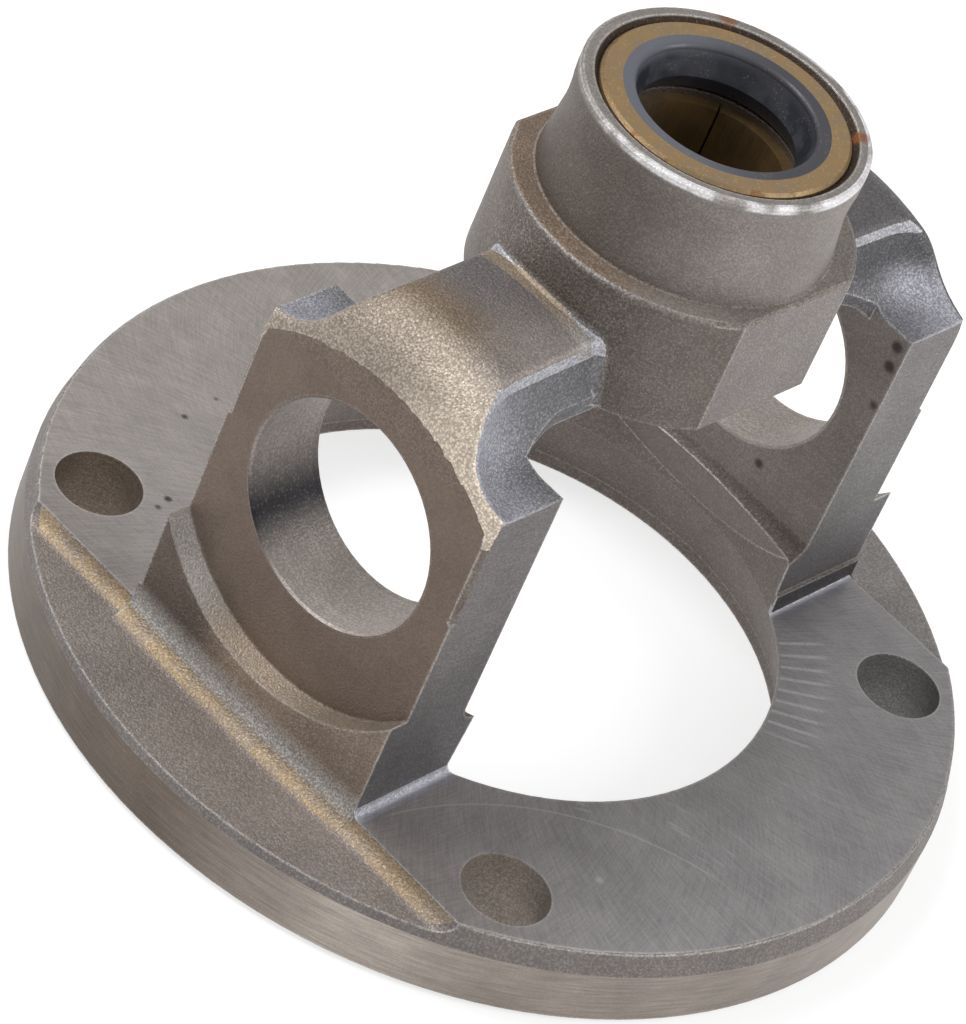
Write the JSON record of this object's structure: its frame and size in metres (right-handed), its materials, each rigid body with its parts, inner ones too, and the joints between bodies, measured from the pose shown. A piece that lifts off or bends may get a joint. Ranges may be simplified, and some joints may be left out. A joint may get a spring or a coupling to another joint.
{
  "type": "forged flange yoke",
  "caption": "Forged flange yoke of a double cardan joint: bored ears rise from a round bolted flange, and a bridge between them carries a hub with a sealed centring bushing.",
  "frame": {"origin": "centre of the flange's back face", "axes": "+Z along the hub, away from the flange; +X along the cross bores of the ears; +Y across the arms"},
  "size_m": [0.13, 0.13, 0.0956],
  "materials": {
    "forged_steel": "blasted forging, part milled and turned",
    "bronze": "oiled bearing surface",
    "case_steel": "pressed, yellowed by preserving oil",
    "rubber": "satin",
    "spring_steel": "drawn wire"
  },
  "bodies": {
    "root": {"yoke": "forged_steel", "centering_bushing": "bronze", "seal_case": "case_steel", "seal_lip": "rubber", "garter_spring": "spring_steel"}
  },
  "joints": []
}
